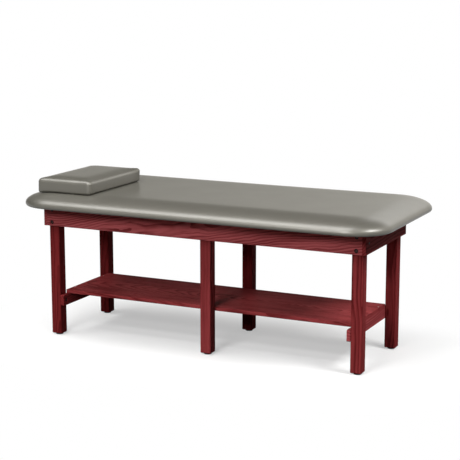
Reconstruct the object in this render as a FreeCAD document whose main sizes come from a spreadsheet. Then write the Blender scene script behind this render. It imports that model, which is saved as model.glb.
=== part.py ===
import FreeCAD, Part
import math
import os
import Sketcher

os.makedirs("parts", exist_ok=True)
doc = FreeCAD.newDocument("treatment_table")

# Sizes in millimetres
SIZES = {
    "top_length": 2041,
    "top_width": 972,
    "corner_radius": 190,
    "corner_inner": 8,
    "edge_run": 165,
    "edge_drop": 61,
    "nose_radius": 34,
    "wrap_radius": 12,
    "cover_thickness": 1.5,
    "cover_margin": 50,
    "soft_gap": 0.3,
    "deck_thickness": 13,
    "head_overhang": 81,
    "foot_overhang": 130,
    "side_overhang": 182,
    "middle_shift": 41,
    "rail_bottom": 608,
    "rail_height": 124,
    "rail_thickness": 20,
    "rail_ease": 2,
    "leg_width": 59,
    "leg_ease": 5,
    "leg_foot_ease": 5,
    "glide_height": 8,
    "glide_diameter": 40,
    "glide_ease": 2,
    "stretcher_bottom": 166,
    "stretcher_height": 59,
    "stretcher_ease": 5,
    "shelf_thickness": 19,
    "shelf_gap": 1,
    "shelf_ease": 2,
    "cross_height": 80,
    "cleat_section": 22,
    "cleat_length": 560,
    "bolt_diameter": 6,
    "bolt_length": 52,
    "bolt_head_diameter": 10.5,
    "bolt_head_height": 3.3,
    "bolt_socket": 4,
    "bolt_socket_depth": 2,
    "washer_diameter": 21,
    "washer_thickness": 1.6,
    "counterbore_diameter": 22,
    "counterbore_depth": 6,
    "bolt_low": 20,
    "bolt_high": 88,
    "bolt_end": 54,
    "insert_diameter": 10,
    "insert_length": 20,
    "fit": 0.2,
    "screw_diameter": 4,
    "screw_head": 8,
    "screw_head_height": 2.6,
    "shelf_screw_length": 42,
    "shelf_screw_edge": 74,
    "glide_screw_length": 28,
    "cleat_screw_length": 30,
    "cleat_screw_spread": 200,
    "cleat_screw_step": 30,
    "cross_screw_length": 45,
    "middle_screw_length": 62,
    "screw_low": 30,
    "screw_high": 85,
    "pillow_length": 318,
    "pillow_width": 523,
    "pillow_height": 62,
    "pillow_corner": 16,
    "pillow_inner": 10,
    "pillow_run": 60,
    "pillow_drop": 20,
    "pillow_nose": 10,
    "pillow_tuck": 14,
    "pillow_head_margin": 94,
    "pillow_front_shift": 109,
}

sheet = doc.addObject("Spreadsheet::Sheet", "sizes")
for row, (name, number) in enumerate(SIZES.items(), 1):
    sheet.set("A%d" % row, name)
    sheet.set("B%d" % row, str(number))
    sheet.setAlias("B%d" % row, name)
doc.recompute()


class Size:
    """A length that carries its sheet expression and its present value."""

    def __init__(self, text, value):
        self.text = text
        self.value = float(value)

    @staticmethod
    def of(other):
        return other if isinstance(other, Size) else Size("%.9g" % other, other)

    def join(self, other, sign, value):
        return Size("(%s %s %s)" % (self.text, sign, Size.of(other).text), value)

    def __add__(self, other):
        return self.join(other, "+", self.value + Size.of(other).value)

    def __radd__(self, other):
        return Size.of(other) + self

    def __sub__(self, other):
        return self.join(other, "-", self.value - Size.of(other).value)

    def __rsub__(self, other):
        return Size.of(other) - self

    def __mul__(self, other):
        return self.join(other, "*", self.value * Size.of(other).value)

    def __rmul__(self, other):
        return Size.of(other) * self

    def __truediv__(self, other):
        return self.join(other, "/", self.value / Size.of(other).value)

    def __neg__(self):
        return Size("(0 - %s)" % self.text, -self.value)

    def root(self):
        return Size("sqrt(%s)" % self.text, math.sqrt(max(self.value, 0.0)))


def size(name):
    return Size("sizes." + name, SIZES[name])


def bind(thing, path, length):
    thing.setExpression(path, Size.of(length).text)


def place(thing, x, y, z):
    spot = [Size.of(v) for v in (x, y, z)]
    rotation = thing.Placement.Rotation
    thing.Placement = FreeCAD.Placement(FreeCAD.Vector(*[v.value for v in spot]), rotation)
    for axis, v in zip("xyz", spot):
        bind(thing, "Placement.Base." + axis, v)


# Named heights and half sizes of the frame
thick = size("rail_thickness")
leg = size("leg_width")
frame_length = size("top_length") - size("head_overhang") - size("foot_overhang")
frame_width = size("top_width") - 2 * size("side_overhang")
half_frame = frame_length / 2
half_width = frame_width / 2
centre = (size("head_overhang") - size("foot_overhang")) / 2
middle_x = centre + size("middle_shift")
rail_top = size("rail_bottom") + size("rail_height")
deck_top = rail_top + size("deck_thickness")
top_height = deck_top + size("edge_drop")
leg_x = half_frame - thick - leg / 2
leg_y = half_width - thick - leg / 2
leg_height = rail_top - size("glide_height")
shelf_bottom = size("stretcher_bottom") + size("stretcher_height")
shelf_top = shelf_bottom + size("shelf_thickness")
shelf_depth = frame_width - 2 * thick - 2 * leg - 2 * size("shelf_gap")
shelf_screw_y = shelf_depth / 2 - size("shelf_screw_edge")
stretcher_x = half_frame - thick - leg - thick / 2
TURN = {
    "+x": FreeCAD.Rotation(FreeCAD.Vector(0, 1, 0), 90),
    "-x": FreeCAD.Rotation(FreeCAD.Vector(0, 1, 0), -90),
    "+y": FreeCAD.Rotation(FreeCAD.Vector(1, 0, 0), -90),
    "-y": FreeCAD.Rotation(FreeCAD.Vector(1, 0, 0), 90),
    "+z": FreeCAD.Rotation(),
    "-z": FreeCAD.Rotation(FreeCAD.Vector(1, 0, 0), 180),
}
nodes = []


def new_body(label):
    body = doc.addObject("PartDesign::Body", label)
    body.Label = label
    return body


def plane_of(body, role):
    return [f for f in body.Origin.OriginFeatures if f.Role == role][0]


def new_sketch(body, name, height=0, role="XY_Plane"):
    sketch = body.newObject("Sketcher::SketchObject", name)
    sketch.AttachmentSupport = [(plane_of(body, role), "")]
    sketch.MapMode = "FlatFace"
    bind(sketch, "AttachmentOffset.Base.z", height)
    return sketch


def dimension(sketch, kind, where, length):
    index = sketch.addConstraint(Sketcher.Constraint(kind, *where, length.value))
    bind(sketch, "Constraints[%d]" % index, length)


def rectangle(body, name, length, width, height=0):
    """A centred rectangle on the body's ground plane."""
    sketch = new_sketch(body, name, height)
    a, b = length.value / 2, width.value / 2
    corners = [FreeCAD.Vector(x, y, 0) for x, y in ((-a, -b), (a, -b), (a, b), (-a, b))]
    for start, end in zip(corners, corners[1:] + corners[:1]):
        sketch.addGeometry(Part.LineSegment(start, end))
    for i in range(4):
        sketch.addConstraint(Sketcher.Constraint("Coincident", i, 2, (i + 1) % 4, 1))
    for i in (0, 2):
        sketch.addConstraint(Sketcher.Constraint("Horizontal", i))
    for i in (1, 3):
        sketch.addConstraint(Sketcher.Constraint("Vertical", i))
    sketch.addConstraint(Sketcher.Constraint("Symmetric", 0, 1, 1, 2, -1, 1))
    dimension(sketch, "DistanceX", (0, 1, 0, 2), length)
    dimension(sketch, "DistanceY", (1, 1, 1, 2), width)
    return sketch


def rounded_rectangle(body, name, half_x, half_y, radius, height):
    """A centred rectangle with round corners, four lines and four quarter arcs."""
    sketch = new_sketch(body, name, height)
    a, b, r = half_x.value, half_y.value, radius.value
    vector = FreeCAD.Vector
    lines = [((-a + r, -b), (a - r, -b)), ((a, -b + r), (a, b - r)),
             ((a - r, b), (-a + r, b)), ((-a, b - r), (-a, -b + r))]
    for start, end in lines:
        sketch.addGeometry(Part.LineSegment(vector(*start, 0), vector(*end, 0)))
    centres = [(a - r, -b + r), (a - r, b - r), (-a + r, b - r), (-a + r, -b + r)]
    for quarter, spot in enumerate(centres):
        circle = Part.Circle(vector(*spot, 0), vector(0, 0, 1), r)
        start = (quarter - 1) * math.pi / 2
        sketch.addGeometry(Part.ArcOfCircle(circle, start, start + math.pi / 2))
    for i in range(4):
        sketch.addConstraint(Sketcher.Constraint("Tangent", i, 2, 4 + i, 1))
        sketch.addConstraint(Sketcher.Constraint("Tangent", 4 + i, 2, (i + 1) % 4, 1))
    for i in (0, 2):
        sketch.addConstraint(Sketcher.Constraint("Horizontal", i))
    for i in (1, 3):
        sketch.addConstraint(Sketcher.Constraint("Vertical", i))
    for i in (5, 6, 7):
        sketch.addConstraint(Sketcher.Constraint("Equal", 4, i))
    dimension(sketch, "DistanceX", (-1, 1, 1, 1), half_x)
    dimension(sketch, "DistanceX", (3, 1, -1, 1), half_x)
    dimension(sketch, "DistanceY", (-1, 1, 2, 1), half_y)
    dimension(sketch, "DistanceY", (0, 1, -1, 1), half_y)
    dimension(sketch, "Radius", (4,), radius)
    return sketch


def pad_up(body, name, sketch, height):
    pad = body.newObject("PartDesign::Pad", name)
    pad.Profile = sketch
    pad.Length = height.value
    bind(pad, "Length", height)
    return pad


def bore(body, name, diameter, depth, spot, axis):
    """A round bore that starts at the spot and runs along the axis."""
    cut = body.newObject("PartDesign::SubtractiveCylinder", name)
    cut.Radius = diameter.value / 2
    cut.Height = depth.value
    bind(cut, "Radius", diameter / 2)
    bind(cut, "Height", depth)
    cut.Placement = FreeCAD.Placement(FreeCAD.Vector(), TURN[axis])
    place(cut, *spot)
    return cut


def edges_where(shape, test):
    return ["Edge%d" % i for i, e in enumerate(shape.Edges, 1) if test(e)]


def round_edges(body, name, test, radius, kind="Fillet"):
    doc.recompute()
    base = body.Tip
    ease = body.newObject("PartDesign::" + kind, name)
    ease.Base = (base, edges_where(base.Shape, test))
    prop = "Radius" if kind == "Fillet" else "Size"
    setattr(ease, prop, radius.value)
    bind(ease, prop, radius)
    return ease


def runs_along(edge, axis):
    d = edge.Vertexes[-1].Point - edge.Vertexes[0].Point
    return d.Length > 1e-6 and abs(d.normalize()[axis]) > 0.999


def board(label, length, width, height):
    """A rectangular stick centred in plan with its underside on the ground plane."""
    body = new_body(label)
    pad_up(body, label + "_stock", rectangle(body, label + "_plan", length, width), height)
    return body


def finish(body, x, y, z):
    place(body, x, y, z)
    nodes.append(body)
    return body


# Apron rails: the end rails cap the side rails
def bolt_bores(body, name, spot, axis):
    """A counterbore for washer and head with a clearance hole through the board."""
    bore(body, name + "_counterbore", size("counterbore_diameter"), size("counterbore_depth"), spot, axis)
    bore(body, name + "_hole", size("bolt_diameter") + 2 * size("fit"), thick, spot, axis)


bolt_x = [centre - leg_x, centre + leg_x]
rail_length = frame_length - 2 * thick
screw_hole = size("screw_diameter") + size("fit")
pilot_depth = thick / 2
for label, side in (("front_side_rail", -1), ("rear_side_rail", 1)):
    body = board(label, rail_length, thick, size("rail_height"))
    round_edges(body, label + "_ease", lambda e: runs_along(e, 0), size("rail_ease"))
    inward = "+y" if side < 0 else "-y"
    outward = "-y" if side < 0 else "+y"
    for end in (-1, 1):
        for level in ("bolt_low", "bolt_high"):
            name = "%s_%s_%d" % (label, level, end + 1)
            bolt_bores(body, name, (end * leg_x, side * thick / 2, size(level)), inward)
    for level in ("screw_low", "screw_high"):
        spot = (size("middle_shift"), -side * thick / 2, size(level))
        bore(body, "%s_middle_%s" % (label, level), screw_hole, pilot_depth, spot, outward)
    for bay in (-1, 1):
        for end in (-1, 1):
            spot_x = bay * leg_x / 2 + size("middle_shift") / 2 + end * size("cleat_screw_spread")
            spot = (spot_x, -side * thick / 2, size("rail_height") - size("cleat_section") / 2)
            bore(body, "%s_cleat_%d_%d" % (label, bay + 1, end + 1), screw_hole, pilot_depth, spot, outward)
    finish(body, centre, side * (half_width - thick / 2), size("rail_bottom"))

for label, end in (("head_end_rail", -1), ("foot_end_rail", 1)):
    body = board(label, thick, frame_width, size("rail_height"))
    round_edges(body, label + "_ease", lambda e: runs_along(e, 1) or runs_along(e, 2), size("rail_ease"))
    for side in (-1, 1):
        name = "%s_bolt_%d" % (label, side + 1)
        bolt_bores(body, name, (end * thick / 2, side * leg_y, size("bolt_end")), "+x" if end < 0 else "-x")
    finish(body, centre + end * (half_frame - thick / 2), 0, size("rail_bottom"))


# Legs: eased edges, softened feet, bores for inserts, bolts and screws
def insert_bores(body, name, spot, axis):
    """A seat for a threaded insert with room behind it for the bolt's tip."""
    bore(body, name + "_seat", size("insert_diameter") + size("fit"), size("insert_length"), spot, axis)
    bore(body, name + "_tip", size("bolt_diameter") + 2 * size("fit"), size("bolt_length"), spot, axis)


def leg_body(label, side):
    body = board(label, leg, leg, leg_height)
    round_edges(body, label + "_ease", lambda e: runs_along(e, 2), size("leg_ease"))
    round_edges(body, label + "_foot", lambda e: e.BoundBox.ZMax < 1e-6, size("leg_foot_ease"))
    bore(body, label + "_glide_pilot", screw_hole, size("glide_screw_length"), (0, 0, 0), "+z")
    return body


lift = size("rail_bottom") - size("glide_height")
for row, end in (("head", -1), ("foot", 1)):
    for place_name, side in (("front", -1), ("rear", 1)):
        label = "%s_%s_leg" % (row, place_name)
        body = leg_body(label, side)
        for level in ("bolt_low", "bolt_high"):
            spot = (0, side * leg / 2, lift + size(level))
            insert_bores(body, label + "_" + level, spot, "+y" if side < 0 else "-y")
        spot = (end * leg / 2, 0, lift + size("bolt_end"))
        insert_bores(body, label + "_end", spot, "+x" if end < 0 else "-x")
        spot_z = size("stretcher_bottom") + size("stretcher_height") / 2 - size("glide_height")
        insert_bores(body, label + "_stretcher", (-end * leg / 2, 0, spot_z), "+x" if end > 0 else "-x")
        finish(body, centre + end * leg_x, side * leg_y, size("glide_height"))

for place_name, side in (("front", -1), ("rear", 1)):
    label = "middle_%s_leg" % place_name
    body = leg_body(label, side)
    for level in ("screw_low", "screw_high"):
        spot = (0, -side * leg / 2, lift + size(level))
        axis = "-y" if side < 0 else "+y"
        bore(body, "%s_%s_head" % (label, level), size("screw_head") + 2 * size("fit"),
             size("screw_head_height"), spot, axis)
        bore(body, "%s_%s_hole" % (label, level), screw_hole, leg, spot, axis)
    for level in ("cross_low", "cross_high"):
        rise = size("cross_height") / 4 if level == "cross_low" else 3 * size("cross_height") / 4
        spot = (-leg / 2, 0, leg_height - size("cross_height") + rise)
        bore(body, "%s_%s" % (label, level), screw_hole, size("cross_screw_length") - thick, spot, "+x")
    finish(body, middle_x, side * leg_y, size("glide_height"))

# Middle cross rail on the head side of the middle legs
cross_x = middle_x - leg / 2 - thick / 2
body = board("middle_cross_rail", thick, frame_width - 2 * thick, size("cross_height"))
round_edges(body, "middle_cross_rail_ease", lambda e: runs_along(e, 1), size("rail_ease"))
for side in (-1, 1):
    for level, share in (("low", 0.25), ("high", 0.75)):
        spot = (-thick / 2, side * leg_y, share * size("cross_height"))
        name = "middle_cross_rail_%s_%d" % (level, side + 1)
        bore(body, name + "_head", size("screw_head") + 2 * size("fit"), size("screw_head_height"), spot, "+x")
        bore(body, name + "_hole", screw_hole, thick, spot, "+x")
finish(body, cross_x, 0, rail_top - size("cross_height"))

# Shelf stretchers lapped on the inner faces of the end legs
for label, end in (("head_shelf_stretcher", -1), ("foot_shelf_stretcher", 1)):
    body = board(label, thick, frame_width - 2 * thick, size("stretcher_height"))
    round_edges(body, label + "_ease", lambda e: runs_along(e, 0), size("stretcher_ease"))
    for side in (-1, 1):
        spot = (-end * thick / 2, side * leg_y, size("stretcher_height") / 2)
        bolt_bores(body, "%s_bolt_%d" % (label, side + 1), spot, "+x" if end > 0 else "-x")
        spot = (0, side * shelf_screw_y, size("stretcher_height"))
        depth = size("shelf_screw_length") - size("shelf_thickness")
        bore(body, "%s_pilot_%d" % (label, side + 1), screw_hole, depth, spot, "-z")
    finish(body, centre + end * stretcher_x, 0, size("stretcher_bottom"))

# Shelf panel between the front and rear legs
shelf_length = frame_length - 2 * thick - 2 * leg
body = board("shelf_panel", shelf_length, shelf_depth, size("shelf_thickness"))
round_edges(body, "shelf_panel_ease", lambda e: runs_along(e, 0), size("shelf_ease"))
for end in (-1, 1):
    for side in (-1, 1):
        spot = (end * stretcher_x, side * shelf_screw_y, size("shelf_thickness"))
        name = "shelf_panel_screw_%d_%d" % (end + 1, side + 1)
        bore(body, name + "_head", size("screw_head") + 2 * size("fit"), size("screw_head_height"), spot, "-z")
        bore(body, name + "_hole", screw_hole, size("shelf_thickness"), spot, "-z")
finish(body, centre, 0, shelf_bottom)

# Deck cleats inside the side rails
cleat = size("cleat_section")
cleat_y = half_width - thick - cleat / 2
cleat_z = rail_top - cleat
cleat_spots = []
for row, bay in (("head", -1), ("foot", 1)):
    for place_name, side in (("front", -1), ("rear", 1)):
        label = "%s_%s_deck_cleat" % (row, place_name)
        body = board(label, size("cleat_length"), cleat, cleat)
        cleat_x = centre + bay * leg_x / 2 + size("middle_shift") / 2
        for end in (-1, 1):
            name = "%s_screw_%d" % (label, end + 1)
            outward = "-y" if side < 0 else "+y"
            into_rail = (end * size("cleat_screw_spread"), -side * cleat / 2, cleat / 2)
            into_deck = (end * (size("cleat_screw_spread") + size("cleat_screw_step")), 0, Size.of(0))
            for tail, spot, axis in (("rail", into_rail, outward), ("deck", into_deck, "+z")):
                bore(body, name + tail + "_head", size("screw_head") + 2 * size("fit"),
                     size("screw_head_height"), spot, axis)
                bore(body, name + tail + "_hole", screw_hole, cleat, spot, axis)
                world = [a + b for a, b in zip(spot, (cleat_x, side * cleat_y, cleat_z))]
                cleat_spots.append((tail, world, axis))
        finish(body, cleat_x, side * cleat_y, cleat_z)


# Upholstery: one edge profile, nested for cover, hollow, foam and deck
class Edge:
    """Rounded cushion edge made of a tuck arc, a nose arc and a crown arc."""

    def __init__(self, half_x, half_y, corner, corner_inner, run, drop, nose, tuck, low, high):
        self.half_x, self.half_y = half_x, half_y
        self.corner, self.corner_inner = corner, corner_inner
        self.run, self.drop, self.nose, self.tuck = run, drop, nose, tuck
        self.low, self.high = low, high
        span, rise = run - nose, drop - nose
        reach = (span * span + rise * rise) / (2 * rise)
        self.crown = reach + nose
        self.sine = span / reach
        self.cosine = 1 - rise / reach

    def tuck_points(self, depth, steps=4):
        radius = self.tuck - depth
        for i in range(steps + 1):
            angle = math.pi / 2 * (1 - i / steps)
            yield self.tuck - math.cos(angle) * radius, self.low - math.sin(angle) * radius

    def crown_points(self, depth, steps=5):
        radius = self.nose - depth
        for i in range(steps + 1):
            rise = (i / steps) * self.cosine * radius
            yield self.nose - (radius * radius - rise * rise).root(), self.high + rise
        radius = self.crown - depth
        for i in range(1, steps + 1):
            out = (1 - i / steps) * self.sine * radius
            level = self.high + self.drop - self.crown + (radius * radius - out * out).root()
            yield self.run - out, level

    def section(self, body, name, inset, height):
        radius = self.corner - (self.corner - self.corner_inner) * inset / self.run
        return rounded_rectangle(body, name, self.half_x - inset, self.half_y - inset, radius, height)

    def loft(self, body, name, points, kind="AdditiveLoft"):
        sketches = []
        for i, (inset, height) in enumerate(points):
            sketches.append(self.section(body, "%s_section_%d" % (name, i), Size.of(inset), height))
        loft = body.newObject("PartDesign::" + kind, name)
        loft.Profile = sketches[0]
        loft.Sections = sketches[1:]
        loft.Ruled = True
        return loft


gap = size("soft_gap")
skin = size("cover_thickness")
top_edge = Edge(size("top_length") / 2, size("top_width") / 2, size("corner_radius"), size("corner_inner"),
                size("edge_run"), size("edge_drop"), size("nose_radius"), size("wrap_radius"),
                rail_top + size("wrap_radius") - skin, deck_top)

body = new_body("top_deck")
deck_points = [(inset + gap, height) for inset, height in top_edge.tuck_points(skin)]
deck_points.append((skin + gap, deck_top))
top_edge.loft(body, "top_deck_form", deck_points)
deck_screw_depth = size("cleat_screw_length") - cleat
for i, (tail, world, axis) in enumerate(cleat_spots):
    if tail == "deck":
        bore(body, "top_deck_pilot_%d" % i, screw_hole, deck_screw_depth, (world[0], world[1], rail_top), "+z")
finish(body, 0, 0, 0)

body = new_body("top_foam")
top_edge.loft(body, "top_foam_form", list(top_edge.crown_points(skin + gap)))
finish(body, 0, 0, 0)

body = new_body("top_cover")
top_edge.loft(body, "top_cover_form", list(top_edge.tuck_points(Size.of(0))) + list(top_edge.crown_points(Size.of(0))))
top_edge.loft(body, "top_cover_hollow", list(top_edge.tuck_points(skin)) + list(top_edge.crown_points(skin)),
              "SubtractiveLoft")
margin = size("cover_margin")
mouth = top_edge.section(body, "top_cover_mouth", margin, rail_top)
opening = body.newObject("PartDesign::Pocket", "top_cover_opening")
opening.Profile = mouth
opening.Length = 2 * skin.value
bind(opening, "Length", 2 * skin)
finish(body, 0, 0, 0)

pillow_x = size("pillow_head_margin") + size("pillow_length") / 2 - size("top_length") / 2
pillow_low = size("pillow_tuck")
pillow_high = size("pillow_height") - size("pillow_drop")
pillow_edge = Edge(size("pillow_length") / 2, size("pillow_width") / 2, size("pillow_corner"), size("pillow_inner"),
                   size("pillow_run"), size("pillow_drop"), size("pillow_nose"), size("pillow_tuck"),
                   pillow_low, pillow_high)
for label, depth in (("pillow_foam", skin + gap), ("pillow_cover", Size.of(0))):
    body = new_body(label)
    points = list(pillow_edge.tuck_points(depth)) + list(pillow_edge.crown_points(depth))
    pillow_edge.loft(body, label + "_form", points)
    if label == "pillow_cover":
        hollow = list(pillow_edge.tuck_points(skin)) + list(pillow_edge.crown_points(skin))
        pillow_edge.loft(body, label + "_hollow", hollow, "SubtractiveLoft")
    finish(body, pillow_x, -size("pillow_front_shift"), top_height)

# Glides under the legs
leg_spots = []
for row, x in (("head", centre - leg_x), ("middle", middle_x), ("foot", centre + leg_x)):
    for place_name, side in (("front", -1), ("rear", 1)):
        leg_spots.append(("%s_%s" % (row, place_name), x, side * leg_y))


def circle_pad(body, name, diameter, start, height):
    sketch = new_sketch(body, name + "_plan", start)
    sketch.addGeometry(Part.Circle(FreeCAD.Vector(), FreeCAD.Vector(0, 0, 1), diameter.value / 2))
    sketch.addConstraint(Sketcher.Constraint("Coincident", 0, 3, -1, 1))
    dimension(sketch, "Diameter", (0,), diameter)
    return pad_up(body, name, sketch, height)


for spot_name, x, y in leg_spots:
    label = spot_name + "_glide"
    body = new_body(label)
    circle_pad(body, label + "_disc", size("glide_diameter"), Size.of(0), size("glide_height"))
    round_edges(body, label + "_ease", lambda e: e.BoundBox.ZMax < 1e-6, size("glide_ease"))
    bore(body, label + "_head", size("screw_head") + 2 * size("fit"), size("glide_height") / 2, (0, 0, 0), "+z")
    bore(body, label + "_hole", screw_hole, size("glide_height"), (0, 0, 0), "+z")
    finish(body, x, y, 0)


# Fasteners: one pattern piece each, set out as groups
def screw_pattern(label, length):
    body = new_body(label)
    circle_pad(body, label + "_head", size("screw_head"), Size.of(0), size("screw_head_height"))
    circle_pad(body, label + "_shank", size("screw_diameter"), Size.of(0), length)
    return body


def group(label, pattern, spots):
    links = []
    for i, (spot, axis) in enumerate(spots):
        link = doc.addObject("App::Link", "%s_%d" % (label, i))
        link.LinkedObject = pattern
        link.Placement = FreeCAD.Placement(FreeCAD.Vector(), TURN[axis])
        place(link, *spot)
        links.append(link)
    compound = doc.addObject("Part::Compound", label)
    compound.Label = label
    compound.Links = links
    nodes.append(compound)


bolt = new_body("bolt_pattern")
circle_pad(bolt, "bolt_head", size("bolt_head_diameter"), -size("bolt_head_height"), size("bolt_head_height"))
circle_pad(bolt, "bolt_shank", size("bolt_diameter"), Size.of(0), size("bolt_length"))
socket = bolt.newObject("PartDesign::SubtractivePrism", "bolt_socket_cut")
socket.Polygon = 6
bind(socket, "Circumradius", size("bolt_socket") / math.sqrt(3))
bind(socket, "Height", size("bolt_socket_depth"))
place(socket, 0, 0, -size("bolt_head_height"))

washer = new_body("washer_pattern")
circle_pad(washer, "washer_disc", size("washer_diameter"), Size.of(0), size("washer_thickness"))
bore(washer, "washer_hole", size("bolt_diameter") + 2 * size("fit"), size("washer_thickness"), (0, 0, 0), "+z")

insert = new_body("insert_pattern")
circle_pad(insert, "insert_barrel", size("insert_diameter"), Size.of(0), size("insert_length"))
bore(insert, "insert_thread", size("bolt_diameter") + size("fit"), size("insert_length"), (0, 0, 0), "+z")

side_spots, end_spots, stretcher_spots = [], [], []
for end in (-1, 1):
    for side in (-1, 1):
        inward = "+y" if side < 0 else "-y"
        along = "+x" if end < 0 else "-x"
        away = "+x" if end > 0 else "-x"
        for level in ("bolt_low", "bolt_high"):
            spot = (centre + end * leg_x, side * half_width, size("rail_bottom") + size(level))
            side_spots.append((spot, inward))
        spot = (centre + end * half_frame, side * leg_y, size("rail_bottom") + size("bolt_end"))
        end_spots.append((spot, along))
        spot = (centre + end * (stretcher_x - thick / 2), side * leg_y,
                size("stretcher_bottom") + size("stretcher_height") / 2)
        stretcher_spots.append((spot, away))


def sunk(spots, depth):
    """Moves each spot into the wood along its axis."""
    moved = []
    for spot, axis in spots:
        step = TURN[axis].multVec(FreeCAD.Vector(0, 0, 1))
        moved.append(([Size.of(v) + round(s) * depth for v, s in zip(spot, step)], axis))
    return moved


under_head = size("counterbore_depth") - size("washer_thickness")
for name, spots in (("side_rail", side_spots), ("end_rail", end_spots), ("stretcher", stretcher_spots)):
    group(name + "_bolts", bolt, sunk(spots, under_head))
    group(name + "_washers", washer, sunk(spots, under_head))
    group(name + "_inserts", insert, sunk(spots, thick))

glide_screw = screw_pattern("glide_screw_pattern", size("glide_screw_length"))
group("glide_screws", glide_screw, [((x, y, size("glide_height") / 2 - size("screw_head_height")), "+z")
                                    for spot_name, x, y in leg_spots])
shelf_screw = screw_pattern("shelf_screw_pattern", size("shelf_screw_length"))
group("shelf_screws", shelf_screw, [((centre + end * stretcher_x, side * shelf_screw_y, shelf_top), "-z")
                                    for end in (-1, 1) for side in (-1, 1)])
cleat_screw = screw_pattern("cleat_screw_pattern", size("cleat_screw_length"))
for tail, label in (("rail", "cleat_rail_screws"), ("deck", "cleat_deck_screws")):
    group(label, cleat_screw, [(world, axis) for kind, world, axis in cleat_spots if kind == tail])
cross_screw = screw_pattern("cross_screw_pattern", size("cross_screw_length"))
group("cross_rail_screws", cross_screw,
      [((cross_x - thick / 2, side * leg_y, rail_top - size("cross_height") * share), "+x")
       for side in (-1, 1) for share in (0.25, 0.75)])
middle_screw = screw_pattern("middle_screw_pattern", size("middle_screw_length"))
group("middle_leg_screws", middle_screw,
      [((middle_x, side * (leg_y - leg / 2), size("rail_bottom") + size(level)), "+y" if side > 0 else "-y")
       for side in (-1, 1) for level in ("screw_low", "screw_high")])

# Check and write every node
doc.recompute()
for thing in doc.Objects:
    if "Invalid" in thing.State or "Error" in thing.State:
        raise RuntimeError("%s did not compute: %s" % (thing.Name, thing.getStatusString()))
for node in nodes:
    shape = node.Shape
    if shape.isNull() or not shape.isValid() or not shape.Solids:
        raise RuntimeError("%s has no valid solid" % node.Label)
    shape.exportStep("parts/%s.step" % node.Label)
    box = shape.BoundBox
    print("%-24s %2d solids %12.0f mm3  x %.1f %.1f  y %.1f %.1f  z %.1f %.1f" % (
        node.Label, len(shape.Solids), shape.Volume, box.XMin, box.XMax, box.YMin, box.YMax, box.ZMin, box.ZMax))
print(len(nodes), "nodes")
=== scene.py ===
import math

import bmesh
import bpy
import numpy as np
from bpy.props import FloatProperty, FloatVectorProperty, PointerProperty
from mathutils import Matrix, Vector


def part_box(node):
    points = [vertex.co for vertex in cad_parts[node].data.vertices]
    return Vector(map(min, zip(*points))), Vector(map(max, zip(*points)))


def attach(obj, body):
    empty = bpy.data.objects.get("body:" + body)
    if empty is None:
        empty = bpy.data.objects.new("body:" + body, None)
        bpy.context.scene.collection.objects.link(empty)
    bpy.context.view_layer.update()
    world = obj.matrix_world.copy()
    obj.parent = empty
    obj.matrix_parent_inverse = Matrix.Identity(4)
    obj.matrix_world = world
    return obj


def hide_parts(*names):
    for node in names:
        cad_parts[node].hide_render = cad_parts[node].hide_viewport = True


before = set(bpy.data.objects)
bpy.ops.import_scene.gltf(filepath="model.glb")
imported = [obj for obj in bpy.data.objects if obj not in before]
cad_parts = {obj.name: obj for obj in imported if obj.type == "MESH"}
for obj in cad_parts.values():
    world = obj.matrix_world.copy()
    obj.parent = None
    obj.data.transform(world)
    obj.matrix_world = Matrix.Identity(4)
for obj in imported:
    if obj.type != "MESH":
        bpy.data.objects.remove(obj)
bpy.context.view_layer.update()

bl_info = {
    "name": "Treatment table dressing",
    "version": (1, 0, 0),
    "blender": (4, 5, 0),
    "location": "View3D > Sidebar > Table",
    "description": "Upholstery, wood and hardware finishes for a fixed treatment table",
    "category": "Object",
}

TOP_LOW, TOP_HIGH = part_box("top_cover")
PILLOW_LOW, PILLOW_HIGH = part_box("pillow_cover")
DECK_LOW, DECK_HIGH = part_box("top_deck")

# Mesh steps round a lower edge, a plan corner and the two crowns, whose steps grow towards the middle
TUCK_STEPS = 6
CORNER_STEPS = 16
TOP_CROWN_STEPS = 20
PILLOW_CROWN_STEPS = 8
CROWN_STEP_GROWTH = 1.3
# A face with more sides than this is one of a cushion's two ends
WALL_SIDES = 8
# How far the vinyl's hem is drawn in and up at the inner end of its turn-under
HEM_IN = 0.002
HEM_UP = 0.004
# How far the pillow's points go out and up, as shares of the corner point
POINT_OUT = 0.7
POINT_UP = 0.8

# Cloth simulation
CLOTH_FRAMES = 20
CLOTH_PRESSURE = 4.0
CLOTH_STRETCH_STIFFNESS = 25.0
CLOTH_BEND_STIFFNESS = 3.0
CLOTH_QUALITY = 5
# Height at which the vinyl is free, depth over which it is held more and more, and distance of its evening
TOP_FREE, TOP_FADE, TOP_EVENING = 0.050, 0.046, 0.050
PILLOW_FREE, PILLOW_FADE, PILLOW_EVENING = 0.030, 0.027, 0.024
POINTS_AT_A_TIME = 1000


def length_prop(name, description, default):
    return FloatProperty(name=name, description=description, default=default, min=0.0, unit="LENGTH",
                         precision=4)


def colour_prop(name, description, default):
    return FloatVectorProperty(name=name, description=description, default=default, size=4, subtype="COLOR",
                               min=0.0, max=1.0)


class TopPadSettings(bpy.types.PropertyGroup):
    corner: length_prop("Corner radius", "Plan radius of the padded top's corners", 0.190)
    run: length_prop("Crown run", "How far in from the edge the top begins to fall", 0.165)
    tuck: length_prop("Tuck radius", "Roundness of the vinyl where it turns under the deck", 0.012)
    margin: length_prop("Turn-under", "Width of the vinyl strip fixed under the deck", 0.050)
    spacing: length_prop("Mesh size", "Grid size of the simulated vinyl", 0.020)
    swell: length_prop("Swell", "Most that the foam pushes the vinyl out", 0.003)


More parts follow.
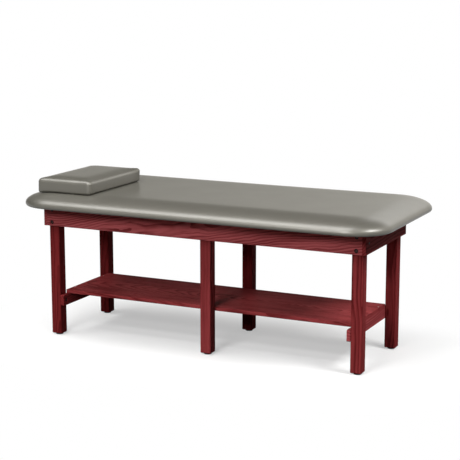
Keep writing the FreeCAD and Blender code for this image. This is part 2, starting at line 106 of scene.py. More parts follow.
class PillowSettings(bpy.types.PropertyGroup):
    corner: length_prop("Corner radius", "Plan radius of the pillow's corners", 0.026)
    run: length_prop("Edge run", "Width of the pillow's rounded upper edge", 0.024)
    drop: length_prop("Edge drop", "Height of the pillow's rounded upper edge", 0.020)
    tuck: length_prop("Tuck radius", "Roundness of the pillow's lower edge", 0.012)
    point: length_prop("Corner point", "How far the upper corners are drawn out to a point", 0.005)
    reach: length_prop("Corner reach", "How far along the edges the corners' points begin", 0.048)
    curl: FloatProperty(name="Corner curl", default=1.6, min=0.0,
                        description="How much further the rear foot-side corner is drawn out")
    proud: length_prop("Fullness", "How far the stuffed pillow stands out past the CAD pillow", 0.006)
    spacing: length_prop("Mesh size", "Grid size of the simulated vinyl", 0.008)
    swell: length_prop("Swell", "Most that the stuffing pushes the vinyl out", 0.012)


class FinishSettings(bpy.types.PropertyGroup):
    vinyl: colour_prop("Vinyl", "Colour of the upholstery vinyl", (0.058, 0.055, 0.045, 1.0))
    stain: colour_prop("Stain", "Colour of the stained wood between the pores", (0.44, 0.085, 0.090, 1.0))
    stain_dark: colour_prop("Dark stain", "Colour of the stained early wood and pores",
                            (0.085, 0.003, 0.004, 1.0))
    plain: colour_prop("Plain wood", "Colour of the unstained deck and cleats", (0.56, 0.40, 0.23, 1.0))
    plain_dark: colour_prop("Plain wood grain", "Colour of the unstained grain lines",
                            (0.36, 0.22, 0.10, 1.0))
    black: colour_prop("Black", "Colour of the glides and washers", (0.004, 0.004, 0.0045, 1.0))
    bronze: colour_prop("Bolt", "Colour of the bolt heads", (0.05, 0.014, 0.014, 1.0))
    zinc: colour_prop("Zinc", "Colour of the plated screws", (0.62, 0.62, 0.60, 1.0))


class StageSettings(bpy.types.PropertyGroup):
    spot: FloatVectorProperty(name="Camera place", description="Where the camera stands", subtype="XYZ",
                              unit="LENGTH", default=(3.0314, -6.2616, 1.9648))
    turn: FloatProperty(name="Camera turn", description="Camera heading", subtype="ANGLE",
                        default=math.radians(25.6710))
    tilt: FloatProperty(name="Camera tilt", description="How far the camera looks down", subtype="ANGLE",
                        default=math.radians(11.0438))
    lens: FloatProperty(name="Lens", description="Focal length in millimetres", default=105.093, min=1.0)
    floor: colour_prop("Floor", "Colour of the studio floor", (0.95, 0.95, 0.945, 1.0))
    floor_bounce: colour_prop("Floor bounce", "Colour of the light that the floor sends back up",
                              (0.07, 0.07, 0.07, 1.0))


# Meshes
def new_piece(name, mesh_maker):
    """A mesh object at the origin whose place is in its mesh."""
    mesh = bpy.data.meshes.new(name)
    bm = bmesh.new()
    mesh_maker(bm)
    bmesh.ops.recalc_face_normals(bm, faces=bm.faces[:])
    bm.to_mesh(mesh)
    bm.free()
    piece = bpy.data.objects.new(name, mesh)
    bpy.context.scene.collection.objects.link(piece)
    return piece


def edge_profile(run, drop, tuck, low, high, steps):
    """Insets and heights of a cushion edge: up over an elliptic crown, and down round the tuck."""
    upper, lower = [], []
    for i in range(1, steps + 1):
        a = math.pi / 2 * (i / steps) ** CROWN_STEP_GROWTH
        upper.append((run - run * math.cos(a), high + drop * math.sin(a)))
    for i in range(1, TUCK_STEPS + 1):
        a = math.pi / 2 * i / TUCK_STEPS
        lower.append((tuck - tuck * math.cos(a), low - tuck * math.sin(a)))
    return upper, lower


def step_face(bm, face, spine, keep, z):
    """Grows an end face to a new height and draws it in towards the lines between the corner centres."""
    face = bmesh.ops.extrude_discrete_faces(bm, faces=[face])["faces"][0]
    for vert in face.verts:
        near = Vector([min(max(vert.co[i], -spine[i]), spine[i]) for i in (0, 1)])
        vert.co.xy = near + (vert.co.xy - near) * keep
        vert.co.z = z
    return face


def end_grid(bm, face):
    """Replaces a flat end face by a grid that runs from one long side to the other."""
    sides = {}
    for edge in face.edges:
        along = edge.verts[1].co - edge.verts[0].co
        if abs(along.x) > 1e-6 and abs(along.y) < 1e-7:
            sides.setdefault(round(edge.verts[0].co.y, 5), []).append(edge)
    bmesh.ops.delete(bm, geom=[face], context="FACES_ONLY")
    bmesh.ops.grid_fill(bm, edges=sum(sides.values(), []))


def cushion(bm, low, high, nose_low, nose_high, corner, upper, lower, spacing):
    """A round-cornered block whose two ends are stepped through the edge profile and closed by grids."""
    made = bmesh.ops.create_cube(bm, size=1.0)
    size = Vector((high.x - low.x, high.y - low.y, nose_high - nose_low))
    bmesh.ops.scale(bm, verts=made["verts"], vec=size)
    uprights = [e for e in bm.edges if abs(e.verts[0].co.z - e.verts[1].co.z) > 1e-6]
    bmesh.ops.bevel(bm, geom=uprights, affect="EDGES", offset=corner, segments=CORNER_STEPS, profile=0.5,
                    material=-1)
    bmesh.ops.delete(bm, geom=[f for f in bm.faces if len(f.verts) > WALL_SIDES], context="FACES_ONLY")
    for axis, span in ((0, size.x), (1, size.y)):
        flat = span - 2 * corner
        least = flat - corner / 10
        straight = [e for e in bm.edges if abs(e.verts[0].co[axis] - e.verts[1].co[axis]) > least]
        bmesh.ops.subdivide_edges(bm, edges=straight, cuts=round(flat / spacing), use_grid_fill=True)
    bmesh.ops.holes_fill(bm, edges=[e for e in bm.edges if e.is_boundary], sides=0)
    spine = (size.x / 2 - corner, size.y / 2 - corner)
    centre = Vector(((low.x + high.x) / 2, (low.y + high.y) / 2, 0.0))
    middle_z = (nose_low + nose_high) / 2
    bmesh.ops.translate(bm, verts=bm.verts[:], vec=(0.0, 0.0, middle_z))
    for end, steps in ((1, upper), (-1, lower)):
        ends = [f for f in bm.faces if len(f.verts) > WALL_SIDES]
        face = max(ends, key=lambda f: end * f.calc_center_median().z)
        inset_now = 0.0
        for inset, z in steps:
            face = step_face(bm, face, spine, (corner - inset) / (corner - inset_now), z)
            inset_now = inset
        end_grid(bm, face)
    bmesh.ops.translate(bm, verts=bm.verts[:], vec=centre)


def baked(piece):
    """Replaces the piece's mesh by what its modifiers give."""
    graph = bpy.context.evaluated_depsgraph_get()
    mesh = bpy.data.meshes.new_from_object(piece.evaluated_get(graph))
    old = piece.data
    piece.modifiers.clear()
    piece.data = mesh
    mesh.name = piece.name
    bpy.data.meshes.remove(old)


def vertex_rows(piece, what):
    """One row of three numbers for each vertex of a piece: its co or its normal."""
    flat = np.empty(len(piece.data.vertices) * 3)
    piece.data.vertices.foreach_get(what, flat)
    return flat.reshape(-1, 3)


def swell(piece, weights, most, reach):
    """Blows the vinyl up a little over its foam; points with a weight of one are held."""
    rest = vertex_rows(piece, "co")
    outward = vertex_rows(piece, "normal")
    pins = piece.vertex_groups.new(name="held")
    levels = np.round(weights, 1)
    for level in np.unique(levels):
        pins.add(np.nonzero(levels == level)[0].tolist(), float(level), "REPLACE")
    cloth = piece.modifiers.new("swell", "CLOTH")
    cloth.settings.use_pressure = True
    cloth.settings.uniform_pressure_force = CLOTH_PRESSURE
    cloth.settings.effector_weights.gravity = 0.0
    cloth.settings.tension_stiffness = CLOTH_STRETCH_STIFFNESS
    cloth.settings.compression_stiffness = CLOTH_STRETCH_STIFFNESS
    cloth.settings.bending_stiffness = CLOTH_BEND_STIFFNESS
    cloth.settings.quality = CLOTH_QUALITY
    cloth.settings.vertex_group_mass = "held"
    cloth.collision_settings.use_collision = False
    scene = bpy.context.scene
    cloth.point_cache.frame_start = 1
    cloth.point_cache.frame_end = CLOTH_FRAMES
    for step in range(1, CLOTH_FRAMES + 1):
        scene.frame_set(step)
    baked(piece)
    scene.frame_set(1)
    out = ((vertex_rows(piece, "co") - rest) * outward).sum(axis=1)
    out = evened(rest, most * np.tanh(out / most), reach) * (1.0 - weights)
    piece.data.vertices.foreach_set("co", (rest + out[:, None] * outward).ravel())
    piece.data.update()
    piece.vertex_groups.clear()


def evened(spots, out, reach):
    """Spreads the swell of each point over its neighbourhood, cell by cell, which takes out ripples."""
    index = np.unique(np.floor(spots * 2 / reach), axis=0, return_inverse=True)[1].ravel()
    count = np.bincount(index)
    centres = np.stack([np.bincount(index, spots[:, i]) / count for i in range(3)], axis=1)
    values = np.bincount(index, out) / count
    even = np.empty_like(out)
    for first in range(0, len(spots), POINTS_AT_A_TIME):
        some = slice(first, first + POINTS_AT_A_TIME)
        gaps = spots[some, None] - centres[None]
        share = np.exp(-(gaps ** 2).sum(axis=2) / (2 * reach * reach))
        even[some] = share @ values / share.sum(axis=1)
    return even


def smooth(piece):
    """Shades a piece as one unbroken surface."""
    piece.data.polygons.foreach_set("use_smooth", [True] * len(piece.data.polygons))


# Shader building blocks: sizes of the growth rings and of the vinyl's pebbles, and the colour of rubbed vinyl
RING_SCALE = 25.0
PEBBLE_SCALE = 620.0
RUBBED_VINYL = (0.050, 0.048, 0.040, 1.0)


def group_tree(name, inputs, outputs):
    tree = bpy.data.node_groups.new(name, "ShaderNodeTree")
    for label, kind in inputs:
        tree.interface.new_socket(name=label, in_out="INPUT", socket_type="NodeSocket" + kind)
    for label, kind in outputs:
        tree.interface.new_socket(name=label, in_out="OUTPUT", socket_type="NodeSocket" + kind)
    return tree, tree.nodes.new("NodeGroupInput"), tree.nodes.new("NodeGroupOutput")


def math_node(tree, operation, first, second=None, clamp=False):
    node = tree.nodes.new("ShaderNodeMath")
    node.operation = operation
    node.use_clamp = clamp
    for socket, value in zip(node.inputs, (first, second)):
        if isinstance(value, (int, float)):
            socket.default_value = value
        elif value is not None:
            tree.links.new(value, socket)
    return node.outputs[0]


def vector_node(tree, operation, first, second):
    node = tree.nodes.new("ShaderNodeVectorMath")
    node.operation = operation
    for socket, value in zip(node.inputs, (first, second)):
        if isinstance(value, tuple):
            socket.default_value = value
        else:
            tree.links.new(value, socket)
    return node.outputs[0]


def noise(tree, vector, scale, detail=2.0, rough=0.5):
    node = tree.nodes.new("ShaderNodeTexNoise")
    node.inputs["Scale"].default_value = scale
    node.inputs["Detail"].default_value = detail
    node.inputs["Roughness"].default_value = rough
    tree.links.new(vector, node.inputs["Vector"])
    return node


def remap(tree, value, low, high, to_low=0.0, to_high=1.0):
    node = tree.nodes.new("ShaderNodeMapRange")
    node.interpolation_type = "SMOOTHSTEP"
    tree.links.new(value, node.inputs["Value"])
    for label, number in (("From Min", low), ("From Max", high), ("To Min", to_low), ("To Max", to_high)):
        node.inputs[label].default_value = number
    return node.outputs["Result"]


def mix_colour(tree, share, first, second, blend="MIX"):
    node = tree.nodes.new("ShaderNodeMix")
    node.data_type = "RGBA"
    node.blend_type = blend
    for socket, value in ((node.inputs[0], share), (node.inputs[6], first), (node.inputs[7], second)):
        if isinstance(value, (int, float, tuple)):
            socket.default_value = value
        else:
            tree.links.new(value, socket)
    return node.outputs[2]


def wander(tree, place, stretch, detail, amount):
    """A slow drift across the grain, which runs along X."""
    drift = noise(tree, vector_node(tree, "MULTIPLY", place, stretch), 1.0, detail)
    centred = vector_node(tree, "SUBTRACT", drift.outputs["Color"], (0.5, 0.5, 0.5))
    return vector_node(tree, "MULTIPLY", centred, (0.0, amount, amount))


def wood_grain_group():
    """Open-pored timber with its length along X: ring lines, pores and slow colour drift."""
    tree, start, end = group_tree(
        "wood_grain",
        [("Vector", "Vector"), ("Light", "Color"), ("Dark", "Color"), ("Contrast", "Float"),
         ("Figure", "Float")],
        [("Color", "Color"), ("Roughness", "Float"), ("Height", "Float")])
    place = start.outputs["Vector"]
    sway = wander(tree, place, (1.9, 0.6, 0.6), 1.0, 0.11)
    ripple = wander(tree, place, (7.0, 18.0, 18.0), 2.0, 0.022)
    figure = tree.nodes.new("ShaderNodeVectorMath")
    figure.operation = "SCALE"
    tree.links.new(vector_node(tree, "ADD", sway, ripple), figure.inputs["Vector"])
    tree.links.new(start.outputs["Figure"], figure.inputs["Scale"])
    bent = vector_node(tree, "ADD", place, figure.outputs["Vector"])
    rings = tree.nodes.new("ShaderNodeTexWave")
    rings.wave_type = "RINGS"
    rings.rings_direction = "X"
    rings.wave_profile = "SAW"
    rings.inputs["Scale"].default_value = RING_SCALE
    rings.inputs["Distortion"].default_value = 0.0
    tree.links.new(bent, rings.inputs["Vector"])
    early = remap(tree, rings.outputs["Fac"], 0.30, 0.90)
    streaks = noise(tree, vector_node(tree, "MULTIPLY", place, (5.0, 330.0, 330.0)), 1.0, 3.0, 0.6)
    pores = remap(tree, streaks.outputs["Fac"], 0.50, 0.66)
    pore_mask = math_node(tree, "MULTIPLY", pores, remap(tree, early, 0.0, 1.0, 0.35, 1.0))
    drift = noise(tree, vector_node(tree, "MULTIPLY", place, (0.9, 22.0, 22.0)), 1.0, 2.0)
    line = math_node(tree, "MULTIPLY", early, remap(tree, drift.outputs["Fac"], 0.30, 0.70, 0.45, 1.0))
    darkness = math_node(tree, "MAXIMUM", math_node(tree, "MULTIPLY", line, 0.72),
                         math_node(tree, "MULTIPLY", pore_mask, 0.85))
    darkness = math_node(tree, "MULTIPLY", darkness, start.outputs["Contrast"], clamp=True)
    toned = mix_colour(tree, remap(tree, drift.outputs["Fac"], 0.35, 0.75, 0.0, 0.30), start.outputs["Light"],
                       start.outputs["Dark"])
    tree.links.new(mix_colour(tree, darkness, toned, start.outputs["Dark"]), end.inputs["Color"])
    tree.links.new(remap(tree, darkness, 0.0, 1.0, 0.52, 0.68), end.inputs["Roughness"])
    tree.links.new(math_node(tree, "MULTIPLY", pore_mask, -1.0), end.inputs["Height"])
    return tree


def vinyl_grain_group():
    """Fine pebbled upholstery vinyl with slow tone drift."""
    tree, start, end = group_tree("vinyl_grain", [("Vector", "Vector"), ("Tone", "Color")],
                                  [("Color", "Color"), ("Roughness", "Float"), ("Height", "Float")])
    place = start.outputs["Vector"]
    cells = tree.nodes.new("ShaderNodeTexVoronoi")
    cells.feature = "SMOOTH_F1"
    cells.inputs["Scale"].default_value = PEBBLE_SCALE
    tree.links.new(place, cells.inputs["Vector"])
    fine = noise(tree, place, 900.0, 2.0)
    drift = noise(tree, place, 5.0, 3.0)
    pebbles = math_node(tree, "ADD", math_node(tree, "MULTIPLY", cells.outputs["Distance"], 0.8),
                        math_node(tree, "MULTIPLY", fine.outputs["Fac"], 0.35))
    shade = remap(tree, drift.outputs["Fac"], 0.3, 0.7, 0.0, 0.10)
    tree.links.new(mix_colour(tree, shade, start.outputs["Tone"], RUBBED_VINYL), end.inputs["Color"])
    tree.links.new(remap(tree, drift.outputs["Fac"], 0.3, 0.7, 0.44, 0.48), end.inputs["Roughness"])
    tree.links.new(pebbles, end.inputs["Height"])
    return tree


def speckle_group():
    """Small tone and roughness changes of moulded or plated parts."""
    tree, start, end = group_tree("speckle", [("Vector", "Vector"), ("Tone", "Color"), ("Scale", "Float")],
                                  [("Color", "Color"), ("Roughness", "Float"), ("Height", "Float")])
    grain = noise(tree, start.outputs["Vector"], 1.0, 3.0, 0.6)
    tree.links.new(start.outputs["Scale"], grain.inputs["Scale"])
    lift = remap(tree, grain.outputs["Fac"], 0.3, 0.7, 0.65, 1.35)
    tree.links.new(mix_colour(tree, 1.0, start.outputs["Tone"], lift, "MULTIPLY"), end.inputs["Color"])
    tree.links.new(remap(tree, grain.outputs["Fac"], 0.3, 0.7, 0.36, 0.55), end.inputs["Roughness"])
    tree.links.new(grain.outputs["Fac"], end.inputs["Height"])
    return tree


def finish_material(name, tree, bump, turn=(0.0, 0.0, 0.0), shift=(0.0, 0.0, 0.0), fine=1.0, metallic=0.0,
                    gloss=0.5, **values):
    """A material that reads one grain group on object coordinates."""
    material = bpy.data.materials.new(name)
    material.use_nodes = True
    nodes, links = material.node_tree.nodes, material.node_tree.links
    shader = nodes["Principled BSDF"]
    place = nodes.new("ShaderNodeTexCoord")
    mapping = nodes.new("ShaderNodeMapping")
    mapping.inputs["Rotation"].default_value = turn
    mapping.inputs["Location"].default_value = shift
    mapping.inputs["Scale"].default_value = (fine, fine, fine)
    grain = nodes.new("ShaderNodeGroup")
    grain.node_tree = tree
    height = nodes.new("ShaderNodeBump")
    height.inputs["Strength"].default_value = 1.0
    height.inputs["Distance"].default_value = bump
    links.new(place.outputs["Object"], mapping.inputs["Vector"])
    links.new(mapping.outputs["Vector"], grain.inputs["Vector"])
    for label, value in values.items():
        grain.inputs[label].default_value = value
    links.new(grain.outputs["Color"], shader.inputs["Base Color"])
    links.new(grain.outputs["Roughness"], shader.inputs["Roughness"])
    links.new(grain.outputs["Height"], height.inputs["Height"])
    links.new(height.outputs["Normal"], shader.inputs["Normal"])
    shader.inputs["Metallic"].default_value = metallic
    shader.inputs["Specular IOR Level"].default_value = gloss
    return material


def wear(piece, material):
    """Gives a piece or a CAD node one material."""
    piece.data.materials.clear()
    piece.data.materials.append(material)


def shared_group(name, maker):
    return bpy.data.node_groups.get(name) or maker()


# Wood pieces with the direction of their grain
BOARDS = {
    "front_side_rail": "X", "rear_side_rail": "X", "shelf_panel": "X",
    "head_end_rail": "Y", "foot_end_rail": "Y", "head_shelf_stretcher": "Y", "foot_shelf_stretcher": "Y",
    "middle_cross_rail": "Y",
    "head_front_leg": "Z", "head_rear_leg": "Z", "middle_front_leg": "Z", "middle_rear_leg": "Z",
    "foot_front_leg": "Z", "foot_rear_leg": "Z",
}
PLAIN_BOARDS = ("top_deck", "head_front_deck_cleat", "head_rear_deck_cleat", "foot_front_deck_cleat",
                "foot_rear_deck_cleat")
# Each board's tone of the stain: partly stain that took darker or lighter, partly painted shade on the darker
# boards (most of all the rear legs, the head shelf stretcher and the foot-end rail) and painted light on the
# lighter front rail
BOARD_STAIN_AND_SHADE = {
    "front_side_rail": 1.20, "shelf_panel": 0.74, "foot_end_rail": 0.65, "head_shelf_stretcher": 0.55,
    "head_front_leg": 0.46, "middle_front_leg": 0.78, "foot_front_leg": 0.62,
    "head_rear_leg": 0.42, "middle_rear_leg": 0.42, "foot_rear_leg": 0.58,
}
# A darker tone, the stain's own and the painted shade in it, loses its green and blue faster than its red
STAIN_AND_SHADE_DEPTH = 1.7
# By direction: how far the grain leans, how much it waves, how fine it is and how far off the heart lies
GRAIN_LEAN = {"X": 0.17, "Y": 0.06, "Z": 0.02}
GRAIN_FIGURE = {"X": 1.0, "Y": 0.7, "Z": 0.3}
GRAIN_FINENESS = {"X": 1.0, "Y": 1.0, "Z": 1.6}
HEART_DISTANCE = {"X": 0.055, "Y": 0.055, "Z": 0.13}
# Steps from board to board: place along the tree, and turn round its heart
BOARD_STEP = 0.37
BOARD_SWING = 2.399963
# How the lean and the small twist of the grain change from board to board
LEAN_START, LEAN_STEP = 1.4, 1.7
GRAIN_TWIST, TWIST_STEP = 0.018, 2.3
PLAIN_LEAN, PLAIN_TWIST = 0.01, 0.012
# Depth of the open pores
STAINED_PORES, PLAIN_PORES = 0.00025, 0.0002
# Plain boards follow on from the stained ones in the tree
PLAIN_START = 20
GRAIN_TURN = {"X": (0.0, 0.0, 0.0), "Y": (0.0, 0.0, -math.pi / 2), "Z": (0.0, math.pi / 2, 0.0)}


def board_shift(node, direction, index):
    """Puts the tree's heart beside the board, at another depth and place for each board."""
    low, high = (Vector(corner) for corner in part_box(node))
    middle = (low + high) / 2
    turned = {"X": middle, "Y": Vector((middle.y, -middle.x, middle.z)),
              "Z": Vector((middle.z, middle.y, -middle.x))}[direction]
    swing = BOARD_SWING * index
    away = HEART_DISTANCE[direction]
    heart = Vector((BOARD_STEP * index, away * math.cos(swing), away * math.sin(swing)))
    return tuple(heart - turned * GRAIN_FINENESS[direction])


def toned(colour, tone):
    """The stain with a board's tone, which is partly painted shade and painted light: a darker tone is also a
    purer red.
    """
    return (colour[0] * tone, colour[1] * tone ** STAIN_AND_SHADE_DEPTH, colour[2] * tone ** STAIN_AND_SHADE_DEPTH, 1.0)


class TABLE_OT_finish_wood(bpy.types.Operator):
    """Gives every stained and plain board its own grain"""
    bl_idname = "table.finish_wood"
    bl_label = "Finish wood"

    def execute(self, context):
        tones = context.scene.table_finish
        grain = shared_group("wood_grain", wood_grain_group)
        for index, (node, direction) in enumerate(BOARDS.items()):
            # Besides the stain's own spread, the tone paints shade onto the darker boards and light onto the
            # front rail
            tone = BOARD_STAIN_AND_SHADE.get(node, 1.0)
            lean = GRAIN_LEAN[direction] * math.sin(LEAN_STEP * index + LEAN_START)
            turn = GRAIN_TURN[direction]
            turn = (turn[0], turn[1] + lean, turn[2] + GRAIN_TWIST * math.cos(TWIST_STEP * index))
            shift = board_shift(node, direction, index)
            material = finish_material("stained_" + node, grain, STAINED_PORES, turn, shift,
                                       GRAIN_FINENESS[direction], gloss=0.01,
                                       Light=toned(tones.stain, tone), Dark=toned(tones.stain_dark, tone),
                                       Contrast=1.0, Figure=GRAIN_FIGURE[direction])
            wear(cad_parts[node], material)
        for index, node in enumerate(PLAIN_BOARDS):
            shift = board_shift(node, "X", index + PLAIN_START)
            turn = (0.0, PLAIN_LEAN, PLAIN_TWIST * index)
            material = finish_material("plain_" + node, grain, PLAIN_PORES, turn, shift,
                                       Light=tuple(tones.plain), Dark=tuple(tones.plain_dark), Contrast=0.7,
                                       Figure=1.0)
            wear(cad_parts[node], material)
        return {"FINISHED"}


class TABLE_OT_finish_hardware(bpy.types.Operator):
    """Finishes the glides, washers, bolts, inserts and screws"""
    bl_idname = "table.finish_hardware"
    bl_label = "Finish hardware"

    def execute(self, context):
        tones = context.scene.table_finish
        grain = shared_group("speckle", speckle_group)
        black, bronze, plated = tuple(tones.black), tuple(tones.bronze), tuple(tones.zinc)
        glide = finish_material("glide_plastic", grain, 0.0001, Tone=black, Scale=900.0)
        washer = finish_material("black_washer", grain, 0.00005, gloss=0.1, Tone=black, Scale=700.0)
        bolt = finish_material("bronzed_bolt", grain, 0.00005, metallic=0.6, Tone=bronze, Scale=700.0)
        zinc = finish_material("zinc_plate", grain, 0.00005, metallic=1.0, Tone=plated, Scale=500.0)
        endings = {"_glide": glide, "_washers": washer, "_bolts": bolt, "_inserts": zinc, "_screws": zinc}
        for node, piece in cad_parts.items():
            for ending, material in endings.items():
                if node.endswith(ending):
                    wear(piece, material)
        return {"FINISHED"}


def vinyl_material(context):
    """The one grey vinyl that the top and the pillow share."""
    existing = bpy.data.materials.get("grey_vinyl")
    if existing:
        return existing
    grain = shared_group("vinyl_grain", vinyl_grain_group)
    tone = tuple(context.scene.table_finish.vinyl)
    material = finish_material("grey_vinyl", grain, 0.00012, gloss=1.0, Tone=tone)
    shader = material.node_tree.nodes["Principled BSDF"]
    shader.inputs["Specular Tint"].default_value = (1.0, 0.97, 0.88, 1.0)
    shader.inputs["Coat Weight"].default_value = 0.55
    shader.inputs["Coat Roughness"].default_value = 0.28
    return material


class TABLE_OT_make_top_pad(bpy.types.Operator):
    """Upholsters the top: vinyl over foam, rounded edges, turned under the deck"""
    bl_idname = "table.make_top_pad"
    bl_label = "Make top pad"

    def execute(self, context):
        sizes = context.scene.table_top_pad
        low, high = Vector(TOP_LOW), Vector(TOP_HIGH)
        nose_low, nose_high = low.z + sizes.tuck, DECK_HIGH[2]
        drop = high.z - nose_high - sizes.swell
        upper, lower = edge_profile(sizes.run, drop, sizes.tuck, nose_low, nose_high, TOP_CROWN_STEPS)
        lower.append((sizes.margin, low.z))
        lower.append((sizes.margin + HEM_IN, DECK_LOW[2] + HEM_UP))

        def upholster(bm):
            cushion(bm, low, high, nose_low, nose_high, sizes.corner, upper, lower, sizes.spacing)

        pad = new_piece("padded_top", upholster)
        heights = vertex_rows(pad, "co")[:, 2] - nose_high
        held = np.clip((TOP_FREE - heights) / TOP_FADE, 0.0, 1.0)
        swell(pad, held, sizes.swell, TOP_EVENING)
        smooth(pad)
        wear(pad, vinyl_material(context))
        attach(pad, "table")
        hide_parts("top_cover", "top_foam")
        return {"FINISHED"}


def crown_fall(spots, sizes):
    """How far the padded top has fallen away from its flat middle below each point."""
    middle = (np.array(TOP_LOW) + np.array(TOP_HIGH))[:2] / 2
    half = (np.array(TOP_HIGH) - np.array(TOP_LOW))[:2] / 2 - sizes.corner
    past = np.abs(spots[:, :2] - middle) - half
    reach = np.linalg.norm(np.maximum(past, 0.0), axis=1) + np.minimum(past.max(axis=1), 0.0)
    inset = np.clip(sizes.corner - reach, 0.0, sizes.run)
    return (TOP_HIGH[2] - DECK_HIGH[2]) * (1.0 - np.sqrt(1.0 - (1.0 - inset / sizes.run) ** 2))


class TABLE_OT_make_pillow(bpy.types.Operator):
    """Makes the loose vinyl head pillow"""
    bl_idname = "table.make_pillow"
    bl_label = "Make pillow"

    def execute(self, context):
        sizes = context.scene.table_pillow
        low, high = Vector(PILLOW_LOW), Vector(PILLOW_HIGH)
        low.xy -= Vector((sizes.proud, sizes.proud))
        high += Vector((sizes.proud, sizes.proud, sizes.proud))
        nose_low, nose_high = low.z + sizes.tuck, high.z - sizes.drop
        upper, lower = edge_profile(sizes.run, sizes.drop, sizes.tuck, nose_low, nose_high,
                                    PILLOW_CROWN_STEPS)

        def sew(bm):
            cushion(bm, low, high, nose_low, nose_high, sizes.corner, upper, lower, sizes.spacing)

        pillow = new_piece("head_pillow", sew)
        heights = vertex_rows(pillow, "co")[:, 2] - low.z
        held = np.clip((PILLOW_FREE - heights) / PILLOW_FADE, 0.0, 1.0)
        swell(pillow, held, sizes.swell, PILLOW_EVENING)
        spots = vertex_rows(pillow, "co")
        share = np.clip((high.z - spots[:, 2]) / (high.z - low.z), 0.0, 1.0)
        middle, half = np.array((low + high) / 2), np.array((high - low) / 2)
        side = np.where(spots[:, :2] < middle[:2], -1.0, 1.0)
        apart = np.linalg.norm(spots[:, :2] - middle[:2] - side * half[:2], axis=1)
        curl = 1.0 + sizes.curl * (side.min(axis=1) > 0.0)
        point = curl * sizes.point * np.exp(-(apart / sizes.reach) ** 2) * (1.0 - share)
        spots += point[:, None] * np.column_stack((side * POINT_OUT, np.full(len(spots), POINT_UP)))
        spots[:, 2] -= share * crown_fall(spots, context.scene.table_top_pad)
        pillow.data.vertices.foreach_set("co", spots.ravel())
        pillow.data.update()
        smooth(pillow)
        wear(pillow, vinyl_material(context))
        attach(pillow, "pillow")
        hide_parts("pillow_cover", "pillow_foam")
        return {"FINISHED"}


# Studio
FLOOR_HALF = 30.0
# Half length and half width of the patch under the table that keeps the most shadow
SHADOW_HALF = {"X": 0.80, "Y": 0.20}
# How far from there the floor turns fully white, and its white share in the shadow
WHITE_FROM = 0.7
SHADOW_WHITE = 0.42
# Share of the white floor that glossy surfaces mirror, near the table and far from it
MIRROR_NEAR, MIRROR_FAR = 0.15, 0.60
MIRROR_FROM, MIRROR_TO = 0.3, 2.6
# The backdrop falls from white to dim between two heights, which are lower towards the head and the rear
DIM_FROM, DIM_TO = 0.25, 0.55
DIM_LEVEL = 0.12
DIM_OFFSET = 0.35
DIM_HEAD = 0.6
DIM_REAR = 0.14
FILL_LIGHT = 0.05
BACKDROP_WHITE = (1.0, 1.0, 1.0, 1.0)
BACKDROP_WARM = (1.0, 0.97, 0.90, 1.0)
# Name, place, aim, width, height and power of each lamp
LAMPS = (
    ("overhead_softbox", (-1.4, -1.5, 4.5), (-1.4, -1.0, 0.76), 4.4, 3.0, 265.0),
    ("front_softbox", (0.1, -4.9, 2.5), (0.0, 0.0, 0.45), 2.4, 0.9, 105.0),
    ("front_spot", (-0.1, -3.9, 3.5), (0.0, 0.0, 0.2), 1.2, 0.6, 65.0),
    ("back_softbox", (0.8, 4.0, 2.7), (0.3, 0.0, 0.8), 2.4, 1.0, 10.0),
    ("side_softbox", (3.6, -0.6, 3.9), (0.3, 0.0, 0.5), 1.8, 1.4, 190.0),
)
SENSOR_WIDTH = 36.0
VIEW_DEPTH = 200.0


def area_light(name, place, aim, width, height, power):
    data = bpy.data.lights.new(name, "AREA")
    data.shape = "RECTANGLE"
    data.size, data.size_y = width, height
    data.energy = power
    lamp = bpy.data.objects.new(name, data)
    lamp.location = place
    lamp.rotation_euler = (Vector(aim) - Vector(place)).to_track_quat("-Z", "Y").to_euler()
    bpy.context.scene.collection.objects.link(lamp)


def shown_rays(tree, gloss):
    """One where the camera or a clear surface looks at the stage, and gloss where a glossy surface does."""
    path = tree.nodes.new("ShaderNodeLightPath")
    seen = math_node(tree, "MAXIMUM", path.outputs["Is Camera Ray"], path.outputs["Is Transmission Ray"])
    return math_node(tree, "MAXIMUM", seen, math_node(tree, "MULTIPLY", path.outputs["Is Glossy Ray"], gloss))


def split_place(tree, output):
    """The X, Y and Z of a texture coordinate."""
    place = tree.nodes.new("ShaderNodeTexCoord")
    split = tree.nodes.new("ShaderNodeSeparateXYZ")
    tree.links.new(place.outputs[output], split.inputs[0])
    return split.outputs


def floor_distance(tree):
    """How far a point of the floor lies from the shadow patch."""
    outputs = split_place(tree, "Object")
    squares = []
    for axis, half in SHADOW_HALF.items():
        past = math_node(tree, "SUBTRACT", math_node(tree, "ABSOLUTE", outputs[axis]), half)
        beyond = math_node(tree, "MAXIMUM", past, 0.0)
        squares.append(math_node(tree, "MULTIPLY", beyond, beyond))
    return math_node(tree, "SQRT", math_node(tree, "ADD", *squares))


def floor_material(stage):
    """A pale floor that turns white away from the table and keeps the table's shadow."""
    material = bpy.data.materials.new("studio_floor")
    material.use_nodes = True
    tree = material.node_tree
    shader = tree.nodes["Principled BSDF"]
    shader.inputs["Roughness"].default_value = 0.9
    shader.inputs["Specular IOR Level"].default_value = 0.1
    away = floor_distance(tree)
    shown = shown_rays(tree, remap(tree, away, MIRROR_FROM, MIRROR_TO, MIRROR_NEAR, MIRROR_FAR))
    colour = mix_colour(tree, shown, tuple(stage.floor_bounce), tuple(stage.floor))
    tree.links.new(colour, shader.inputs["Base Color"])
    white = math_node(tree, "MULTIPLY", shown, remap(tree, away, 0.0, WHITE_FROM, SHADOW_WHITE, 1.0))
    glow = tree.nodes.new("ShaderNodeEmission")
    glow.inputs["Strength"].default_value = 1.0
    mix = tree.nodes.new("ShaderNodeMixShader")
    tree.links.new(white, mix.inputs[0])
    tree.links.new(shader.outputs[0], mix.inputs[1])
    tree.links.new(glow.outputs[0], mix.inputs[2])
    tree.links.new(mix.outputs[0], tree.nodes["Material Output"].inputs["Surface"])
    return material


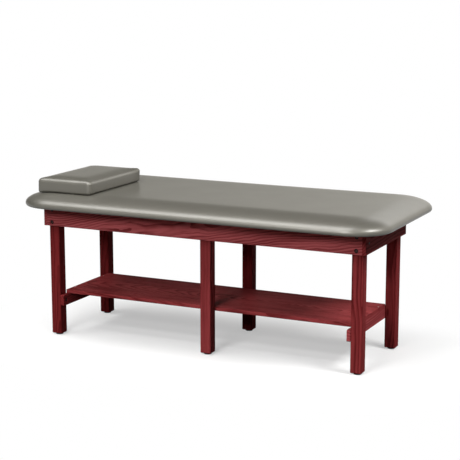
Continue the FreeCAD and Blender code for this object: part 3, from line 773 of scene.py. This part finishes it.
def studio_world():
    """A white backdrop that is dim overhead, and that lights matt surfaces only a little."""
    world = bpy.data.worlds.new("studio")
    world.use_nodes = True
    tree = world.node_tree
    sky = tree.nodes["Background"]
    outputs = split_place(tree, "Generated")
    head = math_node(tree, "MULTIPLY", math_node(tree, "ADD", outputs["X"], DIM_OFFSET), DIM_HEAD)
    rear = math_node(tree, "MULTIPLY", outputs["Y"], DIM_REAR)
    height = math_node(tree, "SUBTRACT", math_node(tree, "ADD", outputs["Z"], rear), head)
    level = remap(tree, height, DIM_FROM, DIM_TO, 1.0, DIM_LEVEL)
    light = remap(tree, shown_rays(tree, 1.0), 0.0, 1.0, FILL_LIGHT, 1.0)
    tree.links.new(math_node(tree, "MULTIPLY", level, light), sky.inputs["Strength"])
    path = tree.nodes.new("ShaderNodeLightPath")
    colour = mix_colour(tree, path.outputs["Is Camera Ray"], BACKDROP_WARM, BACKDROP_WHITE)
    tree.links.new(colour, sky.inputs["Color"])
    return world


class TABLE_OT_set_stage(bpy.types.Operator):
    """Sets the pale floor, the studio lights and the camera"""
    bl_idname = "table.set_stage"
    bl_label = "Set stage"

    def execute(self, context):
        scene, stage = context.scene, context.scene.table_stage
        scene.view_settings.view_transform = "Standard"

        def sheet(bm):
            bmesh.ops.create_grid(bm, x_segments=1, y_segments=1, size=FLOOR_HALF)

        floor = new_piece("studio_floor", sheet)
        wear(floor, floor_material(stage))
        scene.world = studio_world()
        for lamp in LAMPS:
            area_light(*lamp)

        data = bpy.data.cameras.new("photo_view")
        data.lens = stage.lens
        data.sensor_width = SENSOR_WIDTH
        data.clip_end = VIEW_DEPTH
        camera = bpy.data.objects.new("photo_view", data)
        camera.location = stage.spot
        camera.rotation_euler = (math.pi / 2 - stage.tilt, 0.0, stage.turn)
        scene.collection.objects.link(camera)
        scene.camera = camera
        return {"FINISHED"}


class TABLE_PT_panel(bpy.types.Panel):
    """Lists the dressing steps"""
    bl_idname = "TABLE_PT_panel"
    bl_label = "Treatment table"
    bl_space_type = "VIEW_3D"
    bl_region_type = "UI"
    bl_category = "Table"

    def draw(self, context):
        for step in STEPS:
            self.layout.operator(step.bl_idname)
        for name in SETTINGS:
            group = getattr(context.scene, name)
            box = self.layout.box()
            for prop in group.bl_rna.properties.keys():
                if prop not in ("rna_type", "name"):
                    box.prop(group, prop)


SETTINGS = {
    "table_top_pad": TopPadSettings,
    "table_pillow": PillowSettings,
    "table_finish": FinishSettings,
    "table_stage": StageSettings,
}
STEPS = (TABLE_OT_finish_wood, TABLE_OT_finish_hardware, TABLE_OT_make_top_pad, TABLE_OT_make_pillow,
         TABLE_OT_set_stage)


def register():
    for cls in (*SETTINGS.values(), *STEPS, TABLE_PT_panel):
        bpy.utils.register_class(cls)
    for name, cls in SETTINGS.items():
        setattr(bpy.types.Scene, name, PointerProperty(type=cls))


def unregister():
    for name in SETTINGS:
        delattr(bpy.types.Scene, name)
    for cls in reversed((*SETTINGS.values(), *STEPS, TABLE_PT_panel)):
        bpy.utils.unregister_class(cls)


def main():
    register()
    bpy.ops.table.finish_wood()
    bpy.ops.table.finish_hardware()
    bpy.ops.table.make_top_pad()
    bpy.ops.table.make_pillow()
    bpy.ops.table.set_stage()


if __name__ == "__main__":
    main()
